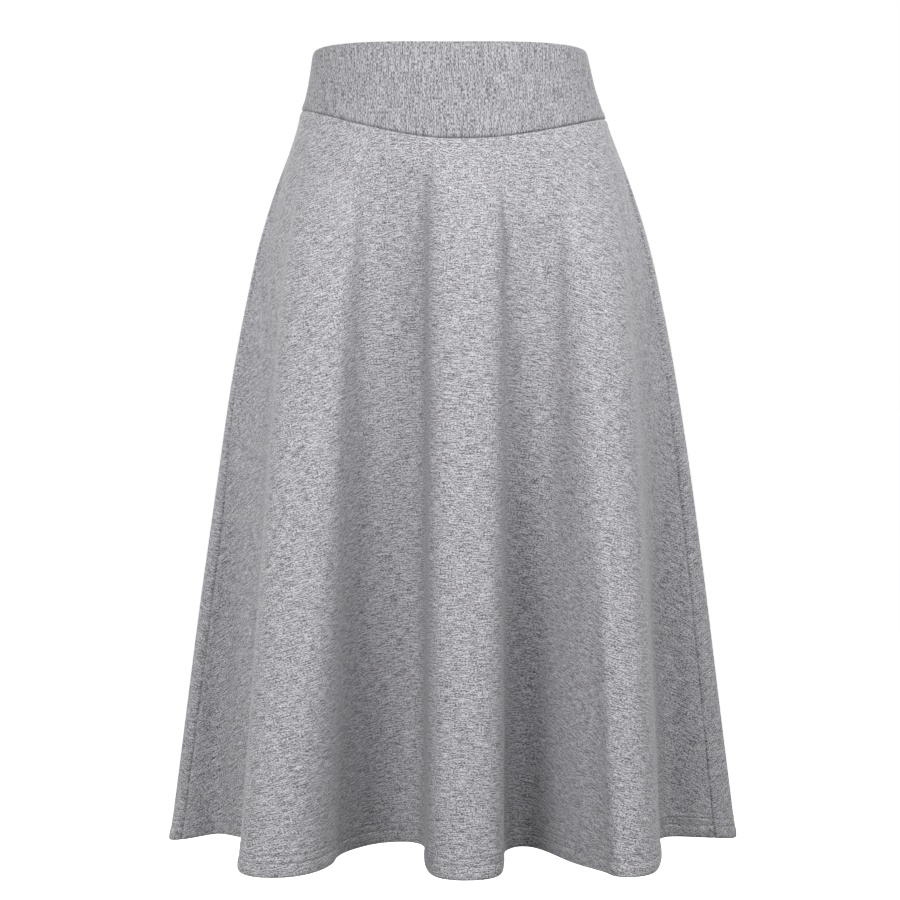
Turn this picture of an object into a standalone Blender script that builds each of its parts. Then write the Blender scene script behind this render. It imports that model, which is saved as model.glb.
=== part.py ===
"""A flared midi skirt in marl knit, in its worn shape: two fluted panels under a shaped waistband.

Frame: origin at the middle of the waist's top edge, +X to the right as seen from the front,
+Y to the back, +Z up. Lengths in metres.

Every piece is a patch of one surface, which is addressed by two numbers:
  turn   0 to 1 once round: 0 is the left side seam, 0.5 the right one, with the front between,
  level  0 at the waist's top edge, 1 at the waistband's lower seam, 2 at the hem.
"""
import math

import bpy
import numpy as np

# ---------------------------------------------------------------- driving dimensions
SEAM_GAP = 0.0003          # space left between two pieces that are sewn together
PANEL_WALL = 0.0016        # one layer of thick knit
BAND_WALL = 0.0028         # the waistband is folded double
HEM_DROP = 0.658           # from the waist's top edge down to the hem
BODY_SHIFT = 0.003         # the skirt hangs this far to the right of the waist's middle
WAIST_DIP = 0.003          # the top edge is cut lower at the middle of the front and back

# How deep the waistband is at four places round the body, and how fast its lower seam rises to
# each side: 2 is an even curve, more stays low for longer.
BAND_DEPTH = {"left": 0.0485, "front": 0.0820, "right": 0.0555, "back": 0.0680}
SEAM_RISE = {"left": 2.1, "right": 2.6}

# The figure that the cloth hangs from, a row for each level section. drop: below the waist's top
# edge; half_width, front and back: the oval's half sizes; square: 2 is an ellipse, more is fuller.
SECTION_COLUMNS = ("drop", "half_width", "front", "back", "square")
SECTIONS = (
    (0.000, 0.1144, 0.0900, 0.0900, 2.45),
    (0.033, 0.1210, 0.0960, 0.0965, 2.40),
    (0.063, 0.1305, 0.1010, 0.1040, 2.35),
    (0.103, 0.1450, 0.1060, 0.1130, 2.30),
    (0.153, 0.1590, 0.1100, 0.1200, 2.25),
    (0.213, 0.1695, 0.1125, 0.1240, 2.20),
    (0.303, 0.1805, 0.1135, 0.1250, 2.20),
    (0.423, 0.1905, 0.1140, 0.1250, 2.20),
    (0.553, 0.1990, 0.1150, 0.1255, 2.20),
    (0.658, 0.2060, 0.1160, 0.1260, 2.20),
)

# The folds at the hem, a row for each crest and each hollow, in order round from the left side.
# across and forward: place. heading: which way the hem runs there, in degrees from +X to +Y.
# before and after: how far it runs on in that way, as lengths of a curve's handles.
# lift: height over the hem's level. start: the level where the fold begins. body_angle: where
# the fold comes from on the body's ovals, in degrees from the front to the right.
FOLD_COLUMNS = ("across", "forward", "heading", "before", "after", "lift", "start", "body_angle")
FOLDS = {
    "side_crest_left": (-0.2385, -0.028, -90, 0.030, 0.026, -0.006, 1.04, -96),
    "side_hollow_left": (-0.1750, 0.010, -40, 0.036, 0.044, 0.002, 1.08, -76),
    "front_crest_left": (-0.1370, 0.163, 0, 0.052, 0.054, 0.001, 1.08, -50),
    "front_hollow_left": (-0.0400, 0.050, 0, 0.058, 0.045, 0.006, 1.04, -24),
    "front_crest_middle": (0.0110, 0.168, 0, 0.0570, 0.0580, 0.000, 1.02, 6.5),
    "front_hollow_right": (0.0590, 0.059, 10, 0.040, 0.034, 0.002, 1.12, 31.5),
    "front_crest_right": (0.1370, 0.160, 2, 0.044, 0.041, 0.001, 1.08, 56),
    "side_hollow_right": (0.1840, 0.014, 44, 0.038, 0.034, 0.001, 1.08, 76),
    "side_crest_right": (0.2438, -0.028, 90, 0.026, 0.030, -0.004, 1.01, 96),
    "back_hollow_right": (0.1820, -0.078, 140, 0.034, 0.032, 0.002, 1.08, 118),
    "back_crest_right": (0.1400, -0.172, 180, 0.040, 0.042, 0.000, 1.08, 137),
    "back_hollow_midright": (0.0640, -0.064, 182, 0.034, 0.036, 0.004, 1.06, 158),
    "back_crest_middle": (-0.0090, -0.178, 180, 0.042, 0.038, 0.000, 1.04, 181),
    "back_hollow_midleft": (-0.0760, -0.062, 178, 0.036, 0.034, 0.004, 1.08, 204),
    "back_crest_left": (-0.1460, -0.168, 180, 0.040, 0.042, 0.001, 1.07, 224),
    "back_hollow_left": (-0.1800, -0.080, 222, 0.030, 0.034, 0.002, 1.08, 243),
}
SEAM_PLACES = (0.36, 7.51) # where the side seams meet the hem, counted along the fold table
HANDLE_RADIUS = 0.116      # turns the length of a handle at the hem into an angle of the body
STEEPEST = 0.85            # the most of the angle to the next fold that one handle may take
FLARE_POWER = 1.05         # how the skirt widens from a fold's start down to the hem
FLUTE_POWER = 0.78         # how a fold deepens over the same way
FLARE_WIDTH = 1.172        # the hem without its folds, as a share of the body's oval there
FLARE_DEPTH = 0.97
EARLY_FOLD = 0.035         # how much of a fold shows just under the waistband already
EARLY_REACH = 0.13         # the level below the waistband where that share is largest

LEFT_SEAM, RIGHT_SEAM, FULL_TURN = 0.0, 0.5, 1.0
TOP_EDGE, BAND_SEAM, HEM = 0.0, 1.0, 2.0

# The pieces that are cut and sewn: where each lies on the surface, its wall and its mesh.
PIECE_COLUMNS = ("first_turn", "last_turn", "first_level", "last_level", "wall", "columns", "rows")
PIECES = {
    "waistband_front": (LEFT_SEAM, RIGHT_SEAM, TOP_EDGE, BAND_SEAM, BAND_WALL, 60, 3),
    "waistband_back": (RIGHT_SEAM, FULL_TURN, TOP_EDGE, BAND_SEAM, BAND_WALL, 60, 3),
    "front_panel": (LEFT_SEAM, RIGHT_SEAM, BAND_SEAM, HEM, PANEL_WALL, 60, 15),
    "back_panel": (RIGHT_SEAM, FULL_TURN, BAND_SEAM, HEM, PANEL_WALL, 60, 15),
}

MARL_GREY = (0.40, 0.41, 0.43)
BAND_GREY = (0.38, 0.39, 0.41)
SAMPLES = 3000             # points on a curve when its length is measured
STEP = 1e-4                # change of turn or level when a slope is measured


# ---------------------------------------------------------------- tables and curves
def column(rows, names, name):
    """One named column of a table, as an array."""
    return np.array([row[names.index(name)] for row in rows], dtype=float)


def smooth_through(x, knots, values):
    """A smooth curve through a table's points: cubic pieces whose slopes follow their neighbours."""
    slopes = np.gradient(values, knots)
    i = np.clip(np.searchsorted(knots, x, side="right") - 1, 0, len(knots) - 2)
    span = knots[i + 1] - knots[i]
    t = (x - knots[i]) / span
    rise = values[i] * (1 + 2 * t) + slopes[i] * span * t
    fall = values[i + 1] * (3 - 2 * t) - slopes[i + 1] * span * (1 - t)
    return rise * (1 - t) ** 2 + fall * t ** 2


def share_of_length(points, halfway):
    """Each point's share of the curve's length, with the two halves measured apart."""
    length = np.concatenate(([0.0], np.cumsum(np.linalg.norm(np.diff(points, axis=0), axis=1))))
    return np.interp(length, [0.0, length[halfway], length[-1]], [LEFT_SEAM, RIGHT_SEAM, FULL_TURN])


# ---------------------------------------------------------------- the body's sections
def section_point(angle, drop):
    """A point of a section: r = (|sin a / width|^n + |cos a / depth|^n)^(-1/n), 0 at the front."""
    knots = column(SECTIONS, SECTION_COLUMNS, "drop")
    width, front, back, square = (
        smooth_through(drop, knots, column(SECTIONS, SECTION_COLUMNS, name))
        for name in SECTION_COLUMNS[1:]
    )
    across, forward = np.sin(angle), np.cos(angle)
    depth = np.where(forward > 0, front, back)
    radius = (np.abs(across / width) ** square + np.abs(forward / depth) ** square) ** (-1 / square)
    return np.stack([radius * across, -radius * forward], axis=-1)


# ---------------------------------------------------------------- the hem
def hem_curve(t):
    """The hem in plan and its lift: a cubic from each fold point to the next, t counting the points."""
    rows = list(FOLDS.values())
    across, forward, heading, before, after, lift = (
        column(rows, FOLD_COLUMNS, name) for name in FOLD_COLUMNS[:6]
    )
    place = np.stack([across, -forward], axis=-1)
    way = np.stack([np.cos(np.radians(heading)), np.sin(np.radians(heading))], axis=-1)
    i = np.floor(t).astype(int) % len(rows)
    j = (i + 1) % len(rows)
    s = (t - np.floor(t))[..., None]
    plan = (place[i] * (1 - s) ** 3
            + (place[i] + way[i] * after[i, None]) * 3 * s * (1 - s) ** 2
            + (place[j] - way[j] * before[j, None]) * 3 * s ** 2 * (1 - s)
            + place[j] * s ** 3)
    blend = (s * s * (3 - 2 * s))[..., 0]
    return plan, lift[i] * (1 - blend) + lift[j] * blend


def body_angle(t):
    """The angle on the body's ovals for each place t of the hem curve: a cubic between the
    table's angles with the hem's own handles, so that a crest keeps its width up the skirt."""
    rows = list(FOLDS.values())
    before, after, angle = (
        column(rows, FOLD_COLUMNS, name) for name in ("before", "after", "body_angle")
    )
    angle = np.radians(angle)
    i = np.floor(t).astype(int) % len(rows)
    j = (i + 1) % len(rows)
    s = t - np.floor(t)
    rise = (angle[j] - angle[i]) % (2 * math.pi)
    leave = np.minimum(after[i] / HANDLE_RADIUS, STEEPEST * rise)
    arrive = np.minimum(before[j] / HANDLE_RADIUS, STEEPEST * rise)
    laps = np.floor(t / len(rows)) * 2 * math.pi
    return (angle[i] + laps
            + leave * 3 * s * (1 - s) ** 2
            + (rise - arrive) * 3 * s ** 2 * (1 - s)
            + rise * s ** 3)


def places_and_turns():
    """The turn for each place along the hem: its share of length, the mean of the hem's and the
    waistband seam's, so that points are spread evenly enough on both."""
    left, right = SEAM_PLACES
    place = np.concatenate([np.linspace(left, right, SAMPLES + 1),
                            np.linspace(right, left + len(FOLDS), SAMPLES + 1)[1:]])
    angle = body_angle(place)
    seam = section_point(angle, np.full_like(angle, BAND_DEPTH["front"]))
    hem = hem_curve(place)[0]
    turn = (share_of_length(hem, SAMPLES) + share_of_length(seam, SAMPLES)) / 2
    return turn, place


TURNS, PLACES = places_and_turns()


def fold_start(turn):
    """The level where the folding begins at each turn, smooth between the rows of the fold table."""
    rows = list(FOLDS.values())
    t = np.arange(-1, len(rows) + 2)
    start = column(rows, FOLD_COLUMNS, "start")[t % len(rows)]
    place = np.interp(turn, TURNS, PLACES)
    return smooth_through(place, t.astype(float), start)


def band_seam_drop(angle):
    """How far below the top edge the waistband's lower seam runs, between its four stated depths."""
    side, forward = np.sin(angle), np.cos(angle)
    at_side = np.where(side > 0, BAND_DEPTH["right"], BAND_DEPTH["left"])
    at_middle = np.where(forward > 0, BAND_DEPTH["front"], BAND_DEPTH["back"])
    share = np.abs(side) ** np.where(side > 0, SEAM_RISE["right"], SEAM_RISE["left"])
    return at_side * share + at_middle * (1 - share)


def surface(turn, level):
    """The outer face of the cloth, in space, for arrays of turn and level of one shape."""
    turn, level = np.broadcast_arrays(np.asarray(turn, float), np.asarray(level, float))
    turn = turn % FULL_TURN
    place = np.interp(turn, TURNS, PLACES)
    angle = body_angle(place)
    hem, lift = hem_curve(place)
    top_drop = WAIST_DIP * np.cos(angle) ** 2
    seam_drop = band_seam_drop(angle)
    in_band = np.clip(level, TOP_EDGE, BAND_SEAM)
    in_panel = np.clip(level - BAND_SEAM, 0, None)
    drop = top_drop + (seam_drop - top_drop) * in_band + (HEM_DROP - lift - seam_drop) * in_panel

    body = section_point(angle, drop)
    body_at_hem = section_point(angle, np.full_like(drop, HEM_DROP))
    start = fold_start(turn)
    share = np.clip((level - start) / (HEM - start), 0, None)
    widening = share ** FLARE_POWER
    reach = in_panel / EARLY_REACH
    deepening = share ** FLUTE_POWER + EARLY_FOLD * reach * np.exp(1 - reach)
    flare = body_at_hem * (FLARE_WIDTH, FLARE_DEPTH)
    plan = (body
            + (flare - body_at_hem) * widening[..., None]
            + (hem - flare) * deepening[..., None])
    shift = BODY_SHIFT * np.clip(drop / BAND_DEPTH["front"], 0, 1) * (1 - widening)
    return np.stack([plan[..., 0] + shift, plan[..., 1], -drop], axis=-1)


def outward(turn, level):
    """The way out of the cloth's outer face, from the surface's slopes round and down."""
    round_slope = surface(turn + STEP, level) - surface(turn - STEP, level)
    down_slope = surface(turn, level + STEP) - surface(turn, level - STEP)
    normal = np.cross(down_slope, round_slope)
    return normal / np.linalg.norm(normal, axis=-1, keepdims=True)


# ---------------------------------------------------------------- the pieces
def inset(turn, level):
    """How much turn, and how much level, make half a seam gap at this place."""
    round_slope = np.linalg.norm(surface(turn + STEP, level) - surface(turn - STEP, level), axis=-1)
    down_slope = np.linalg.norm(surface(turn, level + STEP) - surface(turn, level - STEP), axis=-1)
    return SEAM_GAP * STEP / round_slope, SEAM_GAP * STEP / down_slope


def patch_grid(piece):
    """The turns and levels of a piece's points, half a gap in from the seams it shares."""
    across = np.linspace(0, 1, piece["columns"] + 1)
    down = np.linspace(0, 1, piece["rows"] + 1)[:, None]
    turn = piece["first_turn"] + (piece["last_turn"] - piece["first_turn"]) * across
    level = piece["first_level"] + (piece["last_level"] - piece["first_level"]) * down
    turn, level = np.broadcast_arrays(turn, level)
    turn_gap, level_gap = inset(turn, level)
    seam_above = piece["first_level"] == BAND_SEAM
    seam_below = piece["last_level"] == BAND_SEAM
    turn = turn + turn_gap * (1 - 2 * across)
    level = level + level_gap * ((1 - down) * seam_above - down * seam_below)
    return turn, level


def wall_faces(rows, columns):
    """Quads of a closed wall over a grid: outer face, inner face turned round, and the four edges."""
    count = (rows + 1) * (columns + 1)
    index = np.arange(count).reshape(rows + 1, columns + 1)
    outer = np.stack([index[:-1, :-1], index[1:, :-1], index[1:, 1:], index[:-1, 1:]], axis=-1)
    outer = outer.reshape(-1, 4)
    rim = np.concatenate([index[0, :-1], index[:-1, -1], index[-1, :0:-1], index[:0:-1, 0]])
    following = np.roll(rim, -1)
    edges = np.stack([rim, following, following + count, rim + count], axis=-1)
    return np.concatenate([outer, outer[:, ::-1] + count, edges])


def marl_material(name, color):
    """A matt knit's plain colour."""
    material = bpy.data.materials.new(name)
    material.use_nodes = True
    shader = material.node_tree.nodes["Principled BSDF"]
    shader.inputs["Base Color"].default_value = (*color, 1.0)
    shader.inputs["Roughness"].default_value = 0.85
    shader.inputs["Metallic"].default_value = 0.0
    return material


def make_piece(name, piece, material):
    """One cut piece as a closed wall: the outer face is the surface, the inner one lies a wall behind it."""
    turn, level = patch_grid(piece)
    outer = surface(turn, level).reshape(-1, 3)
    inner = outer - outward(turn, level).reshape(-1, 3) * piece["wall"]
    faces = wall_faces(piece["rows"], piece["columns"])
    mesh = bpy.data.meshes.new(name)
    mesh.from_pydata(np.concatenate([outer, inner]).tolist(), [], faces.tolist())
    mesh.materials.append(material)
    mesh.update()
    mesh.shade_smooth()
    mesh.set_sharp_from_angle(angle=math.radians(50))
    skirt_piece = bpy.data.objects.new(name, mesh)
    bpy.context.scene.collection.objects.link(skirt_piece)
    return skirt_piece


def main():
    for old in list(bpy.data.objects):
        bpy.data.objects.remove(old, do_unlink=True)
    panel_knit = marl_material("panel_knit", MARL_GREY)
    band_knit = marl_material("band_knit", BAND_GREY)
    for name, row in PIECES.items():
        material = band_knit if name.startswith("waistband") else panel_knit
        make_piece(name, dict(zip(PIECE_COLUMNS, row)), material)


main()
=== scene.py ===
# %% [markdown]
# # A flared midi skirt in grey marl knit
#
# The skirt is four cut pieces: a front and a back panel, each a sector of a ring, and a front and
# a back waistband, cut with the grain upright and folded double. The panels' fullness falls in
# soft flutes. This lesson builds the cloth as surfaces worked out with numpy, then dyes it with
# procedural marl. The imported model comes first, because everything has to lie on it.

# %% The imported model
import math

import bpy
import numpy as np
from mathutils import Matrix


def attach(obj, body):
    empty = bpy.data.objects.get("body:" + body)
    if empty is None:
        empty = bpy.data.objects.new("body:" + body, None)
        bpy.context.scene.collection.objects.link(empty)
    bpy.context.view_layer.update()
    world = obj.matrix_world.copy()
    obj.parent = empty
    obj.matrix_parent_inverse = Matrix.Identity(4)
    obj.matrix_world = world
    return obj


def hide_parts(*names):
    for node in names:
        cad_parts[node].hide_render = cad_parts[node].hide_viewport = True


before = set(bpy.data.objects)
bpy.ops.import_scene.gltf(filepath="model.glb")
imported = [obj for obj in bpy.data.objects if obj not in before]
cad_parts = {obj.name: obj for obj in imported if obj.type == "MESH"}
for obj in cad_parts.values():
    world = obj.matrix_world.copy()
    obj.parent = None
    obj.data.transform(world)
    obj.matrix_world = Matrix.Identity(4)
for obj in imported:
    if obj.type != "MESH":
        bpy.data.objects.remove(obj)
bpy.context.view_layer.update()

# %% [markdown]
# ## Camera
#
# The picture was taken from straight in front, with the eye level at the middle of the skirt.
# A level camera with a small vertical shift keeps upright lines upright, as a studio does.

# %% Camera
PICTURE_SIZE = 900          # pixels each way
EYE_DISTANCE = 1.85         # from the skirt's middle to the lens
EYE_HEIGHT = -0.29665       # below the waist's top edge
HORIZON_ROW = 408           # the picture row at eye level
FOCAL_LENGTH = 87.99        # millimetres, as the sensor's width
SENSOR_WIDTH = 36.0


def place_camera():
    """A level camera in front; the shift is the horizon's distance from the picture's middle."""
    lens = bpy.data.cameras.new("studio_camera")
    lens.lens = FOCAL_LENGTH
    lens.sensor_width = SENSOR_WIDTH
    lens.shift_y = -(PICTURE_SIZE / 2 - HORIZON_ROW) / PICTURE_SIZE
    camera = bpy.data.objects.new("studio_camera", lens)
    bpy.context.scene.collection.objects.link(camera)
    camera.location = (0.0, -EYE_DISTANCE, EYE_HEIGHT)
    camera.rotation_euler = (math.radians(90), 0.0, 0.0)
    bpy.context.scene.camera = camera
    return camera


camera = place_camera()
print("camera at", tuple(round(value, 3) for value in camera.location))

# %% [markdown]
# ## The form of the cloth
#
# The whole skirt is one surface with two parameters. `turn` runs once round, from the left side
# seam (0) by the right one (0.5) and back. `level` runs down: 0 at the waist, 1 at the band's
# lower seam, 2 at the hem. It starts as a table of body ovals, and a closed curve through the
# hem's crests and hollows pulls it into flutes that deepen towards the hem.

# %% Tables of the form
HEM_DROP = 0.658            # from the waist's top edge down to the hem
BODY_SHIFT = 0.003          # the skirt hangs this far to the right of the waist's middle
WAIST_DIP = 0.003           # the top edge is cut lower at the middle of the front and back
BAND_DEPTH = {"left": 0.0485, "front": 0.0820, "right": 0.0555, "back": 0.0680}
SEAM_RISE = {"left": 2.1, "right": 2.6}     # how late the band's seam rises to each side

# the body's ovals, by how far they lie below the waist; square is the n of the oval's formula
SECTION_COLUMNS = ("drop", "half_width", "front", "back", "square")
SECTIONS = (
    (0.000, 0.1144, 0.0900, 0.0900, 2.45),
    (0.033, 0.1210, 0.0960, 0.0965, 2.40),
    (0.063, 0.1305, 0.1010, 0.1040, 2.35),
    (0.103, 0.1450, 0.1060, 0.1130, 2.30),
    (0.153, 0.1590, 0.1100, 0.1200, 2.25),
    (0.213, 0.1695, 0.1125, 0.1240, 2.20),
    (0.303, 0.1805, 0.1135, 0.1250, 2.20),
    (0.423, 0.1905, 0.1140, 0.1250, 2.20),
    (0.553, 0.1990, 0.1150, 0.1255, 2.20),
    (0.658, 0.2060, 0.1160, 0.1260, 2.20),
)

# the hem's crests and hollows: place, heading in degrees, handles before and after, lift of the
# hem, the level where the fold starts, and the body oval's angle above it in degrees
FOLD_COLUMNS = ("across", "forward", "heading", "before", "after", "lift", "start", "body_angle")
FOLDS = {
    "side_crest_left": (-0.2385, -0.028, -90, 0.030, 0.026, -0.006, 1.04, -96),
    "side_hollow_left": (-0.1750, 0.010, -40, 0.036, 0.044, 0.002, 1.08, -76),
    "front_crest_left": (-0.1370, 0.163, 0, 0.052, 0.054, 0.001, 1.08, -50),
    "front_hollow_left": (-0.0400, 0.050, 0, 0.058, 0.045, 0.006, 1.04, -24),
    "front_crest_middle": (0.0110, 0.168, 0, 0.0570, 0.0580, 0.000, 1.02, 6.5),
    "front_hollow_right": (0.0590, 0.059, 10, 0.040, 0.034, 0.002, 1.12, 31.5),
    "front_crest_right": (0.1370, 0.160, 2, 0.044, 0.041, 0.001, 1.08, 56),
    "side_hollow_right": (0.1840, 0.014, 44, 0.038, 0.034, 0.001, 1.08, 76),
    "side_crest_right": (0.2438, -0.028, 90, 0.026, 0.030, -0.004, 1.01, 96),
    "back_hollow_right": (0.1820, -0.078, 140, 0.034, 0.032, 0.002, 1.08, 118),
    "back_crest_right": (0.1400, -0.172, 180, 0.040, 0.042, 0.000, 1.08, 137),
    "back_hollow_midright": (0.0640, -0.064, 182, 0.034, 0.036, 0.004, 1.06, 158),
    "back_crest_middle": (-0.0090, -0.178, 180, 0.042, 0.038, 0.000, 1.04, 181),
    "back_hollow_midleft": (-0.0760, -0.062, 178, 0.036, 0.034, 0.004, 1.08, 204),
    "back_crest_left": (-0.1460, -0.168, 180, 0.040, 0.042, 0.001, 1.07, 224),
    "back_hollow_left": (-0.1800, -0.080, 222, 0.030, 0.034, 0.002, 1.08, 243),
}
SEAM_PLACES = (0.36, 7.51)  # the side seams' places on the hem curve, which counts the folds
FLARE_POWER = 1.05          # how the flare grows from the band down to the hem
HANDLE_RADIUS = 0.116       # turns a handle at the hem into an angle of the body
STEEPEST = 0.85             # 1 would let a crest's flank go straight back

LEFT_SEAM, RIGHT_SEAM, FULL_TURN = 0.0, 0.5, 1.0
TOP_EDGE, BAND_SEAM, HEM = 0.0, 1.0, 2.0
SAMPLES = 3000              # points measured along each half of the hem curve
STEP = 1e-4                 # a small step of turn or level, to measure a slope
print(len(SECTIONS), "body ovals and", len(FOLDS), "crests and hollows at the hem")


# %% Curves through the tables
def column(rows, names, name):
    """One named column of a table, as an array."""
    return np.array([row[names.index(name)] for row in rows], dtype=float)


def ease(share):
    """Smooth step: 0 up to 0, 1 from 1, and 3s^2 - 2s^3 between."""
    share = np.clip(share, 0, 1)
    return share * share * (3 - 2 * share)


def smooth_through(x, knots, values):
    """A smooth curve through a table's points: cubics whose slopes follow their neighbours."""
    slopes = np.gradient(values, knots)
    i = np.clip(np.searchsorted(knots, x, side="right") - 1, 0, len(knots) - 2)
    span = knots[i + 1] - knots[i]
    t = (x - knots[i]) / span
    rise = values[i] * (1 + 2 * t) + slopes[i] * span * t
    fall = values[i + 1] * (3 - 2 * t) - slopes[i + 1] * span * (1 - t)
    return rise * (1 - t) ** 2 + fall * t ** 2


def section_point(angle, drop):
    """A body oval: r = (|sin a / width|^n + |cos a / depth|^n)^(-1/n), with 0 at the front."""
    knots = column(SECTIONS, SECTION_COLUMNS, "drop")
    width, front, back, square = (
        smooth_through(drop, knots, column(SECTIONS, SECTION_COLUMNS, name))
        for name in SECTION_COLUMNS[1:]
    )
    across, forward = np.sin(angle), np.cos(angle)
    depth = np.where(forward > 0, front, back)
    radius = (np.abs(across / width) ** square + np.abs(forward / depth) ** square) ** (-1 / square)
    return np.stack([radius * across, -radius * forward], axis=-1)


def fold_columns(*names):
    """Named columns of the fold table, as arrays."""
    return [column(list(FOLDS.values()), FOLD_COLUMNS, name) for name in names]


def between_folds(t):
    """The fold before each place on the hem curve, the fold after it, and the share between."""
    fold = np.floor(t).astype(int) % len(FOLDS)
    return fold, (fold + 1) % len(FOLDS), t - np.floor(t)


def hem_curve(t):
    """The hem in plan and its lift: a cubic from each fold point to the next, t counting them."""
    across, forward, heading, before, after, lift = fold_columns(*FOLD_COLUMNS[:6])
    place = np.stack([across, -forward], axis=-1)
    way = np.stack([np.cos(np.radians(heading)), np.sin(np.radians(heading))], axis=-1)
    i, j, share = between_folds(t)
    s = share[..., None]
    plan = (place[i] * (1 - s) ** 3
            + (place[i] + way[i] * after[i, None]) * 3 * s * (1 - s) ** 2
            + (place[j] - way[j] * before[j, None]) * 3 * s ** 2 * (1 - s)
            + place[j] * s ** 3)
    return plan, lift[i] * (1 - ease(share)) + lift[j] * ease(share)


def body_angle(t):
    """The body oval's angle under each place of the hem curve: a cubic between the table's angles,
    whose handles match the hem's, so that a crest keeps its width all the way up."""
    before, after, angle = fold_columns("before", "after", "body_angle")
    angle = np.radians(angle)
    i, j, s = between_folds(t)
    rise = (angle[j] - angle[i]) % (2 * math.pi)
    leave = np.minimum(after[i] / HANDLE_RADIUS, STEEPEST * rise)
    arrive = np.minimum(before[j] / HANDLE_RADIUS, STEEPEST * rise)
    laps = np.floor(t / len(FOLDS)) * 2 * math.pi
    return (angle[i] + laps + leave * 3 * s * (1 - s) ** 2 + (rise - arrive) * 3 * s ** 2 * (1 - s)
            + rise * s ** 3)


def share_of_length(points, halfway):
    """Each point's share of a curve's length, 0 to 0.5 over its first half and on to 1."""
    length = np.concatenate(([0.0], np.cumsum(np.linalg.norm(np.diff(points, axis=0), axis=1))))
    return np.interp(length, [0.0, length[halfway], length[-1]], [LEFT_SEAM, RIGHT_SEAM, FULL_TURN])


def turns_and_places():
    """The turn for each place along the hem curve: its share of length, the hem's and the band
    seam's averaged, so that points are spread evenly enough on both."""
    left, right = SEAM_PLACES
    t = np.concatenate([np.linspace(left, right, SAMPLES + 1),
                        np.linspace(right, left + len(FOLDS), SAMPLES + 1)[1:]])
    angle = body_angle(t)
    seam = section_point(angle, np.full_like(angle, BAND_DEPTH["front"]))
    return (share_of_length(hem_curve(t)[0], SAMPLES) + share_of_length(seam, SAMPLES)) / 2, t


TURNS, PLACES = turns_and_places()
hem_length = np.linalg.norm(np.diff(hem_curve(PLACES)[0], axis=0), axis=1).sum()
print(f"the hem is {hem_length:.3f} m round")

# %% [markdown]
# The flutes show in the picture from just under the waistband, before they reach out much. So an
# early share of each flute is added there, a few millimetres at most, that fades out lower down.

# %% The form itself
EARLY_FOLD = 0.035          # the extra share of a flute just under the band
EARLY_REACH = 0.13          # the level below the band where that share is largest
FLUTE_POWER = 0.78          # how a flute deepens; the flare itself keeps FLARE_POWER
FLARE_WIDTH, FLARE_DEPTH = 1.172, 0.97   # the hem's mean oval, over the body's oval there


def fold_start(turn):
    """The level where the folding begins, smooth between the rows of the fold table."""
    t = np.arange(-1, len(FOLDS) + 2)
    start = fold_columns("start")[0][t % len(FOLDS)]
    return smooth_through(np.interp(turn, TURNS, PLACES), t.astype(float), start)


def band_seam_drop(angle):
    """How far down the waistband's lower seam runs: a power of the sine between four depths."""
    side, forward = np.sin(angle), np.cos(angle)
    at_side = np.where(side > 0, BAND_DEPTH["right"], BAND_DEPTH["left"])
    at_middle = np.where(forward > 0, BAND_DEPTH["front"], BAND_DEPTH["back"])
    share = np.abs(side) ** np.where(side > 0, SEAM_RISE["right"], SEAM_RISE["left"])
    return at_side * share + at_middle * (1 - share)


def form(turn, level):
    """The cloth's outer face: the body's oval, plus the way to the hem curve times the growth."""
    turn, level = np.broadcast_arrays(np.asarray(turn, float), np.asarray(level, float))
    turn = turn % FULL_TURN
    place = np.interp(turn, TURNS, PLACES)
    angle = body_angle(place)
    hem, lift = hem_curve(place)
    top_drop = WAIST_DIP * np.cos(angle) ** 2
    seam_drop = band_seam_drop(angle)
    in_band = np.clip(level, TOP_EDGE, BAND_SEAM)
    in_panel = np.clip(level - BAND_SEAM, 0, None)
    drop = top_drop + (seam_drop - top_drop) * in_band + (HEM_DROP - lift - seam_drop) * in_panel

    body = section_point(angle, drop)
    body_at_hem = section_point(angle, np.full_like(drop, HEM_DROP))
    start = fold_start(turn)
    share = np.clip((level - start) / (HEM - start), 0, None)
    growth = share ** FLARE_POWER
    reach = in_panel / EARLY_REACH
    early = EARLY_FOLD * reach * np.exp(1 - reach)
    flare = body_at_hem * (FLARE_WIDTH, FLARE_DEPTH)
    plan = (body + (flare - body_at_hem) * growth[..., None]
            + (hem - flare) * (share ** FLUTE_POWER + early)[..., None])
    shift = BODY_SHIFT * np.clip(drop / BAND_DEPTH["front"], 0, 1) * (1 - growth)
    return np.stack([plan[..., 0] + shift, plan[..., 1], -drop], axis=-1)


def outward(turn, level):
    """The way out of the cloth: the cross product of its slopes down and round."""
    round_slope = form(turn + STEP, level) - form(turn - STEP, level)
    down_slope = form(turn, level + STEP) - form(turn, level - STEP)
    normal = np.cross(down_slope, round_slope)
    return normal / np.linalg.norm(normal, axis=-1, keepdims=True)


print("middle of the front hem:", np.round(form(0.25, HEM), 4).tolist())

# %% [markdown]
# ## A grid for each cut piece
#
# A piece is a patch of the form. Its grid has close lines at the seams and the hem, where the
# cloth rolls over, and even ones between. The distances along the grid, in metres, say how far
# every point is from each edge, so that seams, hem and stitching are laid out as a sewer would.

# %% Grid lines
SEAM_LINES = (0.00002, 0.00015, 0.0004, 0.0008, 0.0013, 0.0020, 0.0030, 0.0045, 0.0065)
STITCH_ROWS = (0.0105, 0.0165)      # the twin needle's two rows, above the hem
ROW_LINES = (-0.0014, -0.0008, -0.0004, 0, 0.0004, 0.0008, 0.0014)  # lines beside each row
HEM_LINES = tuple(sorted(
    {0.0, 0.00015, 0.0004, 0.0008, 0.0013, 0.0019, 0.0026, 0.0036, 0.0047, 0.0058, 0.0069, 0.0080}
    | {round(row + line, 5) for row in STITCH_ROWS for line in ROW_LINES}
    | {0.0135, 0.0188, 0.0193, 0.0198, 0.0204, 0.0215, 0.0235, 0.0260}))


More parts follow.
